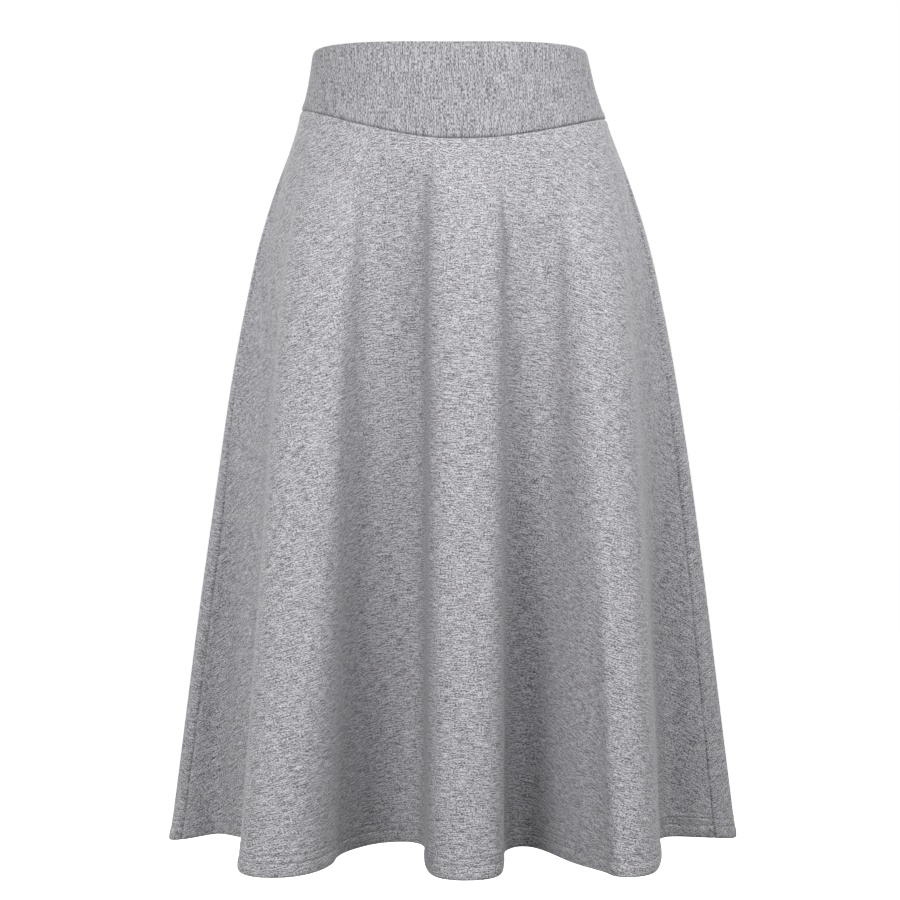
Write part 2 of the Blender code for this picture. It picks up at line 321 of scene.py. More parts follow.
def grid_lines(length, step, first, last):
    """Places from 0 to 1 along a length: the listed distances from each end, even steps between."""
    first, last = np.asarray(first) / length, 1 - np.asarray(last)[::-1] / length
    count = max(2, round((last[0] - first[-1]) * length / step))
    return np.concatenate([first[:-1], np.linspace(first[-1], last[0], count + 1), last[1:]])


def along(points, axis):
    """Distance travelled along one way of a grid: the running sum of its steps' lengths."""
    steps = np.linalg.norm(np.diff(points, axis=axis), axis=-1)
    start = np.zeros_like(np.take(steps, [0], axis=axis))
    return np.concatenate([start, np.cumsum(steps, axis=axis)], axis=axis)


def lay_out(piece):
    """A piece's grid on the form, its normals, and each point's distance from the four edges."""
    first, last, top, bottom, width, length, column_step, row_step, bottom_lines = piece
    share = grid_lines(width, column_step, SEAM_LINES, SEAM_LINES)
    fall = grid_lines(length, row_step, SEAM_LINES, bottom_lines)
    turn, level = np.meshgrid(first + (last - first) * share, top + (bottom - top) * fall)
    points = form(turn, level)
    down, over = along(points, 0), along(points, 1)
    return {"turn": turn, "level": level, "points": points, "normal": outward(turn, level),
            "down": down, "up": down[-1:] - down,
            "from_first": over, "from_last": over[:, -1:] - over}


PIECES = {      # first and last turn, top and bottom level, usual width and length, steps, lines
    "waistband_front": (LEFT_SEAM, RIGHT_SEAM, TOP_EDGE, BAND_SEAM,
                        0.36, 0.075, 0.0018, 0.0022, SEAM_LINES),
    "waistband_back": (RIGHT_SEAM, FULL_TURN, TOP_EDGE, BAND_SEAM,
                       0.36, 0.062, 0.0018, 0.0022, SEAM_LINES),
    "front_panel": (LEFT_SEAM, RIGHT_SEAM, BAND_SEAM, HEM,
                    0.70, 0.600, 0.0026, 0.0052, HEM_LINES),
    "back_panel": (RIGHT_SEAM, FULL_TURN, BAND_SEAM, HEM,
                   0.70, 0.600, 0.0026, 0.0052, HEM_LINES),
}
layouts = {name: lay_out(piece) for name, piece in PIECES.items()}
for name, layout in layouts.items():
    round_edges = layout["from_first"][[0, -1], -1]
    print(name, "grid", layout["turn"].shape, "length", layout["down"][-1].mean().round(3),
          "top and bottom edge", round_edges.round(3))

# %% [markdown]
# ## Relief: flute faces, creases, seams and the stitched hem
#
# A flute could be left as smooth as the form makes it. Real knit breaks over from the flute's
# face to its flank along a definite line, and never evenly. So a first table raises each face a
# little between its two edges, and a second one lays soft ridges and troughs. Along each
# seam the cloth dips into a narrow groove and swells beside it, and the twin needle's rows sink
# into the doubled hem.

# %% Faces of the flutes
FACE_COLUMNS = ("side", "left_top", "left_hem", "right_top", "right_hem",
                "left_soft", "right_soft", "first_drop", "at_top", "at_hem")
FRONT, BACK = -1, 1
FLUTE_FACES = {
    "front_left": (FRONT, -0.1200, -0.1700, -0.0800, -0.0915, 0.006, 0.0026, 0.15, 0.0004, 0.0034),
    "front_middle": (FRONT, -0.0176, -0.018, 0.0425, 0.042, 0.0032, 0.0036, 0.096, 0.0028, 0.0016),
    "front_right": (FRONT, 0.0960, 0.1225, 0.1500, 0.1750, 0.0046, 0.0040, 0.140, 0.0008, 0.0032),
    "back_left": (BACK, -0.1500, -0.1800, -0.1000, -0.1130, 0.0040, 0.0034, 0.140, 0.0008, 0.0028),
    "back_middle": (BACK, -0.0420, -0.0440, 0.0240, 0.0250, 0.0032, 0.0026, 0.100, 0.0024, 0.0016),
    "back_right": (BACK, 0.0980, 0.1090, 0.1500, 0.1750, 0.0030, 0.0040, 0.150, 0.0006, 0.0030),
}
FACE_RISE = 0.060           # a face comes up over this drop below its first one
FACE_TURNOVER = 0.05        # front faces give way to back ones over this depth


def table_columns(table, names, like):
    """A table's columns by name, shaped to spread over a grid."""
    values = np.array(list(table.values()), dtype=float).T
    return {name: column.reshape((-1,) + (1,) * like.ndim) for name, column in zip(names, values)}


def face_relief(points):
    """Height times two tanh steps across and an easing down, its edges' places read by drop."""
    across, back, drop = points[..., 0], points[..., 1], -points[..., 2]
    face = table_columns(FLUTE_FACES, FACE_COLUMNS, across)
    down = drop / HEM_DROP
    left = face["left_top"] + (face["left_hem"] - face["left_top"]) * down
    right = face["right_top"] + (face["right_hem"] - face["right_top"]) * down
    height = face["at_top"] + (face["at_hem"] - face["at_top"]) * down
    up_step = np.tanh((across - left) / face["left_soft"])
    down_step = np.tanh((across - right) / face["right_soft"])
    rise = ease((drop - face["first_drop"]) / FACE_RISE)
    on_side = ease(0.5 + face["side"] * back / FACE_TURNOVER)
    return (height * 0.5 * (up_step - down_step) * rise * on_side).sum(axis=0)


highest = max(max(row[-2:]) for row in FLUTE_FACES.values())
print(f"{len(FLUTE_FACES)} flute faces, up to {highest * 1000:.1f} mm high")

# %% Creases
CREASE_COLUMNS = ("side", "at_top", "at_hem", "first_drop", "last_drop", "half_width", "height")
CREASES = {
    "left_side_hollow": (FRONT, -0.1760, -0.2040, 0.270, 0.900, 0.0125, -0.0125),
    "left_side_rim": (FRONT, -0.1920, -0.2270, 0.330, 0.900, 0.0070, 0.0020),
    "left_face_dip": (FRONT, -0.1050, -0.1300, 0.180, 0.560, 0.0150, -0.0009),
    "left_trough_low": (FRONT, -0.0760, -0.0830, 0.330, 0.900, 0.0090, -0.0016),
    "left_trough_ridge": (FRONT, -0.0500, -0.0560, 0.200, 0.600, 0.0090, 0.0009),
    "left_trough_edge": (FRONT, -0.0260, -0.0270, 0.100, 0.420, 0.0070, -0.0010),
    "middle_face_dip": (FRONT, 0.0120, 0.0140, 0.150, 0.520, 0.0150, -0.0007),
    "right_trough_low": (FRONT, 0.0560, 0.0610, 0.230, 0.900, 0.0105, -0.0068),
    "right_flank_ridge": (FRONT, 0.0800, 0.0880, 0.180, 0.620, 0.0090, 0.0011),
    "right_flank_low": (FRONT, 0.0960, 0.1120, 0.340, 0.900, 0.0150, -0.0072),
    "right_face_dip": (FRONT, 0.1200, 0.1400, 0.180, 0.520, 0.0130, -0.0008),
    "right_side_low": (FRONT, 0.1640, 0.1880, 0.280, 0.900, 0.0130, -0.0090),
    "right_side_ridge": (FRONT, 0.1850, 0.2120, 0.330, 0.700, 0.0090, 0.0012),
    "hip_left_drag": (FRONT, -0.1280, -0.1420, 0.100, 0.340, 0.0120, 0.0008),
    "hip_right_drag": (FRONT, 0.1260, 0.1480, 0.100, 0.340, 0.0120, 0.0008),
    "back_right_low": (BACK, 0.1700, 0.1960, 0.280, 0.900, 0.0120, -0.0030),
    "back_right_flank": (BACK, 0.0820, 0.0880, 0.220, 0.640, 0.0090, 0.0012),
    "back_right_trough": (BACK, 0.0560, 0.0600, 0.240, 0.900, 0.0100, -0.0016),
    "back_middle_dip": (BACK, -0.0060, -0.0100, 0.160, 0.500, 0.0150, -0.0008),
    "back_left_trough": (BACK, -0.0680, -0.0740, 0.220, 0.900, 0.0100, -0.0016),
    "back_left_flank": (BACK, -0.0880, -0.0980, 0.200, 0.600, 0.0090, 0.0010),
    "back_left_dip": (BACK, -0.1240, -0.1450, 0.180, 0.560, 0.0140, -0.0009),
    "back_left_low": (BACK, -0.1700, -0.1980, 0.280, 0.900, 0.0120, -0.0032),
}
CREASE_EASE = 0.35          # the share of a crease's length over which it comes and goes
CREASE_SIDE = 0.75          # how far it has come in halfway from front to back
CREASE_TURNOVER = 0.04      # and the depth over which it comes in
WANDER = 0.0012             # how far a crease wanders from its straight line
WANDER_WAVES = (23, 40)     # its waves by drop, and how each crease's differ


def bell(distance, width):
    """A bell curve: 1 at no distance, fading within a width."""
    return np.exp(-(distance / width) ** 2)


def crease_relief(points):
    """Sum of soft ridges: height times a bell across the crease times an easing at both ends."""
    across, back, drop = points[..., 0], points[..., 1], -points[..., 2]
    crease = table_columns(CREASES, CREASE_COLUMNS, across)
    line = crease["at_top"] + (crease["at_hem"] - crease["at_top"]) * drop / HEM_DROP
    by_drop, by_crease = WANDER_WAVES
    wander = WANDER * np.sin(by_drop * drop + by_crease * crease["at_hem"])
    ridge = bell(across - line - wander, crease["half_width"])
    length = (crease["last_drop"] - crease["first_drop"]) * CREASE_EASE
    come = ease((drop - crease["first_drop"]) / length)
    leave = ease((crease["last_drop"] - drop) / length)
    on_side = ease(CREASE_SIDE + crease["side"] * back / CREASE_TURNOVER)
    return (crease["height"] * ridge * come * leave * on_side).sum(axis=0)


deepest = -min(row[-1] for row in CREASES.values())
print(f"{len(CREASES)} creases, up to {deepest * 1000:.1f} mm deep")

# %% Seams and the hem's turn-up
PANEL_WALL = 0.0016
BAND_WALL = 0.0028
HEM_TURN_UP = 0.0195        # how far the hem is turned up inside
TURN_UP_EDGE = 0.00035      # how sharply the turn-up's cut edge ends
GROOVE, GROOVE_WIDTH = 0.0011, 0.0009       # how far and how wide a seam sinks
PUFF, PUFF_PLACE, PUFF_WIDTH = 0.0005, 0.0042, 0.0028   # the swelling beside a seam
PUFF_UNEVEN = 0.25          # the share by which that swelling comes and goes
PUFF_WAVES = (410, 97, 3)   # its waves by turn, by level, and how they slant
HEM_PROUD = 0.0003          # the doubled hem stands this far out
HEM_SWELL, HEM_SWELL_PLACE, HEM_SWELL_WIDTH = 0.0005, 0.0055, 0.0040    # below the stitching
HEM_WAVE, HEM_WAVE_WIDTH, HEM_WAVES = 0.0006, 0.008, 71     # the edge's own slow waves
STITCH_GROOVE, STITCH_GROOVE_WIDTH = 0.00045, 0.0006
STITCH_PITCH = 0.0030       # from one hem stitch to the next
PUCKER = 0.35               # the share by which that groove's depth varies along a stitch


def seam_relief(distance, layout):
    """A groove along an edge with a low swelling beside it, slightly uneven along its length."""
    turn, level = layout["turn"], layout["level"]
    by_turn, by_level, slant = PUFF_WAVES
    uneven = 1 + PUFF_UNEVEN * np.sin(by_turn * turn) * np.sin(by_level * level + slant * turn)
    puff = PUFF * uneven * bell(distance - PUFF_PLACE, PUFF_WIDTH)
    return -GROOVE * bell(distance, GROOVE_WIDTH) + puff


def hem_relief(layout):
    """The doubled edge stands a little proud, swells below the stitches and sinks along them."""
    up, over = layout["up"], layout["from_first"]
    double = 0.5 - 0.5 * np.tanh((up - HEM_TURN_UP) / (2 * TURN_UP_EDGE))
    relief = HEM_PROUD * double + HEM_SWELL * bell(up - HEM_SWELL_PLACE, HEM_SWELL_WIDTH)
    relief = relief + HEM_WAVE * bell(up, HEM_WAVE_WIDTH) * np.sin(HEM_WAVES * over + 1)
    pucker = 1 + PUCKER * np.sin(over * 2 * math.pi / STITCH_PITCH)
    for row in STITCH_ROWS:
        relief = relief - STITCH_GROOVE * pucker * bell(up - row, STITCH_GROOVE_WIDTH)
    return relief, double


# %% Outer and inner faces
TURN_UP_WALL = 0.95         # the turn-up adds this share of a wall behind the hem
SEWN_ROUND = 0.60           # how round a sewn edge is: 1 would bring both faces together
FREE_ROUND = 0.92           # and a free edge, at the waist and the hem


def quarter_round(distance, radius):
    """How far a rounded edge drops: the arc of a circle over a radius from the edge."""
    return radius * (1 - np.sqrt(1 - (1 - np.clip(distance / radius, 0, 1)) ** 2))


def shell(layout, wall, hem):
    """Both faces of the cloth: the form plus relief along the normal, and a wall behind that."""
    sides = [layout["from_first"], layout["from_last"]]
    relief = seam_relief(sides[0], layout) + seam_relief(sides[1], layout)
    if hem:
        sewn, free = layout["down"], layout["up"]
        edge, double = hem_relief(layout)
        relief = relief + edge + crease_relief(layout["points"]) + face_relief(layout["points"])
        thick = wall * (1 + TURN_UP_WALL * double)
    else:
        sewn, free = layout["up"], layout["down"]
        thick = np.full_like(relief, wall)
    relief = relief + seam_relief(sewn, layout)
    closed = SEWN_ROUND * quarter_round(np.minimum.reduce(sides + [sewn]), 0.5 * wall)
    roll = np.maximum(closed, FREE_ROUND * quarter_round(free, 0.5 * thick))
    outer = layout["points"] + layout["normal"] * (relief - roll)[..., None]
    inner = layout["points"] + layout["normal"] * (relief - thick + roll)[..., None]
    return outer, inner


# %% [markdown]
# ## Walls and the flat cut
#
# Two faces alone would be open at their edges, so a band of quads runs round all four and closes
# the wall. Every point also keeps its place on the flat cloth, as it was cut. That place is the
# mesh's UV map, and the knit is drawn on it.

# %% Closed walls as meshes
PANEL_ANGLE = math.radians(59)      # the sector that each panel is cut to
HEM_EDGE = 0.996                    # a panel's hem edge on the flat cloth, in metres
HEM_RADIUS = HEM_EDGE / PANEL_ANGLE
print(f"a panel is a sector with its hem at a radius of {HEM_RADIUS:.3f} m")


def wall_faces(rows, columns):
    """Quads of a closed wall over a grid: outer face, inner face turned round, and four edges."""
    count = (rows + 1) * (columns + 1)
    index = np.arange(count).reshape(rows + 1, columns + 1)
    outer = np.stack([index[:-1, :-1], index[1:, :-1], index[1:, 1:], index[:-1, 1:]], axis=-1)
    outer = outer.reshape(-1, 4)
    rim = np.concatenate([index[0, :-1], index[:-1, -1], index[-1, :0:-1], index[:0:-1, 0]])
    following = np.roll(rim, -1)
    edges = np.stack([rim, following, following + count, rim + count], axis=-1)
    return np.concatenate([outer, outer[:, ::-1] + count, edges])


def flat_cut(name, layout):
    """Each point's place on the flat cloth: a ring sector for a panel, and for a band a strip
    measured out from its middle, with the courses running down."""
    over = layout["from_first"]
    if name.startswith("waistband"):
        return np.stack([layout["down"], over - over[:, -1:] / 2], axis=-1)
    share = over / over[:, -1:]
    radius = HEM_RADIUS - layout["up"]
    angle = (share - 0.5) * PANEL_ANGLE
    return np.stack([radius * np.sin(angle), -radius * np.cos(angle)], axis=-1)


def mesh_piece(name, points, faces, place, material):
    """A mesh object at the origin, with each point's place on the flat cloth as its UV map."""
    mesh = bpy.data.meshes.new(name)
    mesh.from_pydata(points.tolist(), [], faces.tolist())
    uv = mesh.uv_layers.new(name="flat_cut")
    uv.data.foreach_set("uv", place[faces.reshape(-1)].astype(np.float32).ravel())
    mesh.materials.append(material)
    mesh.shade_smooth()
    mesh.update()
    piece = bpy.data.objects.new(name, mesh)
    bpy.context.scene.collection.objects.link(piece)
    return piece


def wall_piece(name, outer, inner, place, material):
    """A closed wall between two grids of points, in one mesh."""
    faces = wall_faces(outer.shape[0] - 1, outer.shape[1] - 1)
    points = np.concatenate([outer.reshape(-1, 3), inner.reshape(-1, 3)])
    place = place.reshape(-1, 2)
    return mesh_piece(name, points, faces, np.concatenate([place, place]), material)


# %% [markdown]
# ## Marl
#
# Marl yarn is spun from pale and dark fibres together, so the knit shows short streaks along its
# courses. A picture of cloth could be wrapped on, but noise drawn out along the courses never
# repeats and stays sharp at any size. On the panels the courses run straight across the flat cut,
# and so they tilt towards the side seams when the cloth hangs. The flat cut is the UV map, in
# metres, and so every length below is one on the real cloth.

# %% Node helpers
NOISE_DETAIL = 1.0          # one finer layer of noise on the first
NOISE_ROUGHNESS = 0.6       # and that layer's share
ACROSS_OFFSET = 0.7         # a noise's offset across the courses, over its offset along them


def math_node(tree, kind, first, second):
    """A Math node whose inputs are sockets or plain numbers."""
    node = tree.nodes.new("ShaderNodeMath")
    node.operation = kind
    for socket, value in zip(node.inputs, (first, second)):
        if isinstance(value, (int, float)):
            socket.default_value = value
        else:
            tree.links.new(value, socket)
    return node.outputs[0]


def stretched_noise(tree, place, length, width, offset):
    """Noise drawn out along the course: the place divided by a streak's length and width."""
    scale = tree.nodes.new("ShaderNodeVectorMath")
    scale.operation = "MULTIPLY_ADD"
    scale.inputs[1].default_value = (1 / length, 1 / width, 1)
    scale.inputs[2].default_value = (offset, offset * ACROSS_OFFSET, 0)
    tree.links.new(place, scale.inputs[0])
    noise = tree.nodes.new("ShaderNodeTexNoise")
    noise.noise_dimensions = "2D"
    noise.inputs["Scale"].default_value = 1.0
    noise.inputs["Detail"].default_value = NOISE_DETAIL
    noise.inputs["Roughness"].default_value = NOISE_ROUGHNESS
    tree.links.new(scale.outputs[0], noise.inputs["Vector"])
    return noise.outputs["Fac"]


def spread(tree, value, low, high):
    """Maps a range of values onto 0 to 1, without going past either end."""
    node = tree.nodes.new("ShaderNodeMapRange")
    node.clamp = True
    tree.links.new(value, node.inputs["Value"])
    for name, number in (("From Min", low), ("From Max", high), ("To Min", 0), ("To Max", 1)):
        node.inputs[name].default_value = number
    return node.outputs["Result"]


def mix_colors(tree, factor, first, second):
    """A colour mix of sockets."""
    node = tree.nodes.new("ShaderNodeMix")
    node.data_type = "RGBA"
    for name, value in (("Factor", factor), ("A", first), ("B", second)):
        tree.links.new(value, next(s for s in node.inputs if s.name == name and s.enabled))
    return next(s for s in node.outputs if s.enabled)


# %% The marl group
FIBRE_NOISES = {            # length along the course, width across it, weight, offset
    "hair": (0.0013, 0.00070, 0.56, 3.1),
    "streak": (0.0062, 0.00065, 0.31, 11.7),
    "slub": (0.0150, 0.00080, 0.22, 37.0),
    "cloud": (0.0240, 0.00900, 0.03, 23.0),
}
PALE_RANGE = (0.560, 0.645)     # where a fibre turns from middle grey to pale
DARK_RANGE = (0.540, 0.440)     # and from middle grey to dark
TONES = ("Pale", "Middle", "Dark")


def marl_group():
    """Fibre streaks in three tones on the flat cut, with their height for the bump."""
    group = bpy.data.node_groups.new("marl_fibres", "ShaderNodeTree")
    make = group.interface.new_socket
    make("Flat Cut", in_out="INPUT", socket_type="NodeSocketVector")
    for tone in TONES:
        make(tone, in_out="INPUT", socket_type="NodeSocketColor")
    make("Color", in_out="OUTPUT", socket_type="NodeSocketColor")
    make("Height", in_out="OUTPUT", socket_type="NodeSocketFloat")
    enter = group.nodes.new("NodeGroupInput")
    leave = group.nodes.new("NodeGroupOutput")
    place = enter.outputs["Flat Cut"]
    mixed = None
    for length, width, weight, offset in FIBRE_NOISES.values():
        noise = stretched_noise(group, place, length, width, offset)
        share = math_node(group, "MULTIPLY", noise, weight)
        mixed = share if mixed is None else math_node(group, "ADD", mixed, share)
    pale = spread(group, mixed, *PALE_RANGE)
    dark = spread(group, mixed, *DARK_RANGE)
    color = mix_colors(group, pale, enter.outputs["Middle"], enter.outputs["Pale"])
    color = mix_colors(group, dark, color, enter.outputs["Dark"])
    group.links.new(color, leave.inputs["Color"])
    group.links.new(mixed, leave.inputs["Height"])
    return group


marl = marl_group()
print("the group", marl.name, "mixes", len(FIBRE_NOISES), "noises")

# %% [markdown]
# ## The two knits
#
# The panels and the waistband are the same yarn in two knits, and the waistband's is darker, with
# longer streaks and hardly any fuzz. Both take colour and bump from the one group, each with its
# own tones. Roughness, gloss and sheen are the same all over, so the shader itself holds them.

# %% Knit materials
KNIT_BUMP, KNIT_BUMP_DEPTH = 0.70, 0.0006
KNIT_ROUGHNESS, KNIT_GLOSS = 0.92, 0.2
SHEEN_ROUGHNESS = 0.5


def matt_material(name, roughness, gloss):
    """A material with a plain matt shader, and a node that reads the flat cut for it."""
    material = bpy.data.materials.new(name)
    material.use_nodes = True
    tree = material.node_tree
    shader = tree.nodes["Principled BSDF"]
    shader.inputs["Roughness"].default_value = roughness
    shader.inputs["Specular IOR Level"].default_value = gloss
    uv = tree.nodes.new("ShaderNodeUVMap")
    uv.uv_map = "flat_cut"
    return material, shader, uv.outputs["UV"]


def raise_bump(tree, shader, height, strength, distance):
    """A Bump node from a height to the shader's normal."""
    bump = tree.nodes.new("ShaderNodeBump")
    bump.inputs["Strength"].default_value = strength
    bump.inputs["Distance"].default_value = distance
    tree.links.new(height, bump.inputs["Height"])
    tree.links.new(bump.outputs["Normal"], shader.inputs["Normal"])


def knit_material(name, tones, sheen, streak_scale):
    """A matt, slightly fuzzy knit: marl colour, a little bump from the fibres, soft sheen."""
    material, shader, place = matt_material(name, KNIT_ROUGHNESS, KNIT_GLOSS)
    shader.inputs["Sheen Weight"].default_value = sheen
    shader.inputs["Sheen Roughness"].default_value = SHEEN_ROUGHNESS
    tree = material.node_tree
    scale = tree.nodes.new("ShaderNodeVectorMath")
    scale.operation = "MULTIPLY"
    scale.inputs[1].default_value = (1 / streak_scale, 1, 1)
    tree.links.new(place, scale.inputs[0])
    fibres = tree.nodes.new("ShaderNodeGroup")
    fibres.node_tree = marl
    tree.links.new(scale.outputs[0], fibres.inputs["Flat Cut"])
    for socket, color in zip(TONES, tones):
        fibres.inputs[socket].default_value = (*color, 1)
    tree.links.new(fibres.outputs["Color"], shader.inputs["Base Color"])
    raise_bump(tree, shader, fibres.outputs["Height"], KNIT_BUMP, KNIT_BUMP_DEPTH)
    return material


PANEL_TONES = ((0.570, 0.564, 0.594), (0.292, 0.289, 0.304), (0.080, 0.079, 0.084))
BAND_TONES = ((0.436, 0.432, 0.454), (0.252, 0.250, 0.263), (0.092, 0.091, 0.097))
panel_knit = knit_material("panel_knit_marl", PANEL_TONES, sheen=0.12, streak_scale=1.0)
band_knit = knit_material("band_knit_marl", BAND_TONES, sheen=0.03, streak_scale=1.8)
print("two knits:", panel_knit.name, "and", band_knit.name)

# %% [markdown]
# ## The four cut pieces
#
# Each piece is one closed wall with its own thickness. The panels' walls double at the turned-up
# hem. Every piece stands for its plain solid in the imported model.

# %% The four cut pieces
SHEETS = {      # flat size in metres, how it is held, what carries it, flat area
    "front_panel": ((0.953, 0.648), "hung", ["waistband_front"], 0.412),
    "back_panel": ((0.953, 0.648), "hung", ["waistband_back"], 0.412),
    "waistband_front": ((0.380, 0.082), "stretched", [], 0.0245),
    "waistband_back": ((0.378, 0.068), "stretched", [], 0.0218),
}
shells = {}
pieces = {}
for name, layout in layouts.items():
    hem = name.endswith("panel")
    shells[name] = shell(layout, PANEL_WALL if hem else BAND_WALL, hem)
    material = panel_knit if hem else band_knit
    pieces[name] = wall_piece(name + "_cloth", *shells[name], flat_cut(name, layout), material)
    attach(pieces[name], "root")
    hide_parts(name)
    print(name, len(pieces[name].data.polygons), "faces")

# %% [markdown]
# ## Stitching
#
# A twin needle sews the hem with two rows of thread side by side. The thread could be painted on,
# but at the hem it lies in its own groove and catches the light, so each stitch is a short thread
# that rises from the cloth and goes back into it. They are all one shape, placed along the row.

# %% Hem stitches
THREAD_RADIUS = 0.00022
THREAD_SIDES = 6
THREAD_TWIST = 0.0006       # the size of the twist's marks
THREAD_BUMP, THREAD_BUMP_DEPTH = 0.3, 0.0002
THREAD_ROUGHNESS, THREAD_GLOSS = 0.75, 0.3
THREAD_TONES = ((0.13, 0.13, 0.145, 1), (0.30, 0.30, 0.325, 1))
STITCH_LENGTH = 0.0025
STITCH_RISE = 0.00035       # how high its middle arches
STITCH_RINGS = np.array([-1.0, -0.6, 0.0, 0.6, 1.0])    # along a stitch, from end to end
STITCH_ENDS = 1.02          # 1 would bring its ends to a point
ROW_MARGIN = 0.006          # the rows start and stop this far from the side seams


def thread_material():
    """Matt thread, a little darker than the cloth, with its twist as a fine bump."""
    material, shader, place = matt_material("hem_thread", THREAD_ROUGHNESS, THREAD_GLOSS)
    tree = material.node_tree
    twist = stretched_noise(tree, place, THREAD_TWIST, THREAD_TWIST, 5.0)
    tone = tree.nodes.new("ShaderNodeValToRGB")
    for element, color in zip(tone.color_ramp.elements, THREAD_TONES):
        element.color = color
    tree.links.new(twist, tone.inputs["Fac"])
    tree.links.new(tone.outputs["Color"], shader.inputs["Base Color"])
    raise_bump(tree, shader, twist, THREAD_BUMP, THREAD_BUMP_DEPTH)
    return material


def on_line(values, layout, row):
    """Values of a grid read at one height over the hem, between the two grid lines around it."""
    below = (layout["up"] > row).sum(axis=0)[None]
    high = np.take_along_axis(layout["up"], below - 1, axis=0)[0]
    low = np.take_along_axis(layout["up"], below, axis=0)[0]
    share = ((high - row) / (high - low))[:, None]
    index = below[..., None] + np.zeros((1, 1, values.shape[-1]), int)
    upper = np.take_along_axis(values, index - 1, axis=0)[0]
    lower = np.take_along_axis(values, index, axis=0)[0]
    return upper * (1 - share) + lower * share


def stitch_row(layout, outer, row):
    """Points and faces of a row of stitches: rings round an arched path, thin at both ends."""
    line = on_line(outer, layout, row)
    normal = on_line(layout["normal"], layout, row)
    length = along(line, 0)
    middle = np.arange(ROW_MARGIN, length[-1] - ROW_MARGIN, STITCH_PITCH)
    place = middle[:, None] + STITCH_RINGS * STITCH_LENGTH / 2
    path = np.stack([np.interp(place, length, line[:, k]) for k in range(3)], axis=-1)
    out = np.stack([np.interp(place, length, normal[:, k]) for k in range(3)], axis=-1)
    way = np.gradient(path, axis=1)
    way = way / np.linalg.norm(way, axis=-1, keepdims=True)
    side = np.cross(way, out)
    arch = (1 - STITCH_RINGS ** 2)[:, None]
    path = path + out * (STITCH_RISE * arch - THREAD_RADIUS)
    radius = THREAD_RADIUS * np.sqrt(STITCH_ENDS - STITCH_RINGS ** 2)[:, None, None]
    turn = (np.arange(THREAD_SIDES) * 2 * math.pi / THREAD_SIDES)[:, None]
    ring = (out[:, :, None] * np.cos(turn) + side[:, :, None] * np.sin(turn)) * radius
    points = path[:, :, None] + ring
    count, rings, sides = points.shape[:3]
    index = np.arange(count * rings * sides).reshape(count, rings, sides)
    after = np.roll(index, -1, axis=2)
    walls = np.stack([index[:, :-1], after[:, :-1], after[:, 1:], index[:, 1:]], axis=-1)
    first, last = index[:, 0], index[:, -1]     # each six-sided end is closed by two quads
    ends = [first[:, [3, 2, 1, 0]], first[:, [5, 4, 3, 0]],
            last[:, [0, 1, 2, 3]], last[:, [0, 3, 4, 5]]]
    return points.reshape(-1, 3), np.concatenate([walls.reshape(-1, 4)] + ends)


def hem_stitches(name, layout, outer):
    """Both rows of a panel's twin stitching as one mesh."""
    rows = [stitch_row(layout, outer, row) for row in STITCH_ROWS]
    points = np.concatenate([points for points, _ in rows])
    faces = np.concatenate([rows[0][1], rows[1][1] + len(rows[0][0])])
    return mesh_piece(name, points, faces, points[:, [0, 2]], hem_thread)


hem_thread = thread_material()
for name in ("front_panel", "back_panel"):
    stitches = hem_stitches(name + "_hem_stitches", layouts[name], shells[name][0])
    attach(stitches, "root")
    pieces[name + "_stitches"] = stitches
    print(stitches.name, len(stitches.data.polygons), "faces")

# %% [markdown]
# ## Seam allowances inside
#
# Inside, each seam's two edges are oversewn together and pressed to one side: the side seams to
# the back and the waist seam down. They show from above and below, so each is a narrow strip of
# doubled cloth that lies on the inner face, with a thin rounded edge.

# %% Seam allowances
ALLOWANCE = 0.0090          # how wide the oversewn edge is
ALLOWANCE_WALL = 0.0015
ALLOWANCE_CLEAR = 0.0001    # the strip lies this far off the inner face
ALLOWANCE_ROUND = 0.9       # how round its edges are
STRIP_START = 0.0004        # it starts this far from its seam
STRIP_LINES = np.array([0.0, 0.03, 0.08, 0.2, 0.4, 0.6, 0.8, 0.92, 0.97, 1.0])
STRIP_METRES = 0.6          # metres of cloth to one level, for the marl on a strip
SIDE_LEVELS = np.linspace(BAND_SEAM + 0.02, HEM - 0.036, 140)   # down to the hem's turn-up
WAIST_MARGIN = 0.004        # of a turn, at both ends of a waist strip
WAIST_COLUMNS = 260


def inside_strip(name, turn, level, across):
    """A strip inside a panel: it lies a wall behind the outer face, thin at its edges."""
    points, normal = form(turn, level), outward(turn, level)
    behind = crease_relief(points) + face_relief(points) - PANEL_WALL - ALLOWANCE_CLEAR
    edge = np.minimum(across, 1 - across) * ALLOWANCE
    roll = quarter_round(edge, 0.5 * ALLOWANCE_WALL) * ALLOWANCE_ROUND
    near = points + normal * (behind - roll)[..., None]
    far = points + normal * (behind - ALLOWANCE_WALL + roll)[..., None]
    place = np.stack([across * ALLOWANCE, level * STRIP_METRES + turn], axis=-1)
    strip = wall_piece(name, near, far, place, panel_knit)
    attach(strip, "root")
    return strip


def side_strip(name, seam_turn):
    """From a side seam to the back: the seam's turn, plus a width over the metres in one turn.
    From the left seam that runs backwards, so its columns are reversed."""
    level = SIDE_LEVELS[:, None]
    speed = np.linalg.norm(form(seam_turn + STEP, level) - form(seam_turn, level), axis=-1) / STEP
    across = STRIP_LINES[None] + np.zeros_like(level)
    way = 1 if seam_turn == RIGHT_SEAM else -1
    turn = seam_turn + way * (across * ALLOWANCE + STRIP_START) / speed
    return inside_strip(name, turn[:, ::way], level + 0 * across, across[:, ::way])


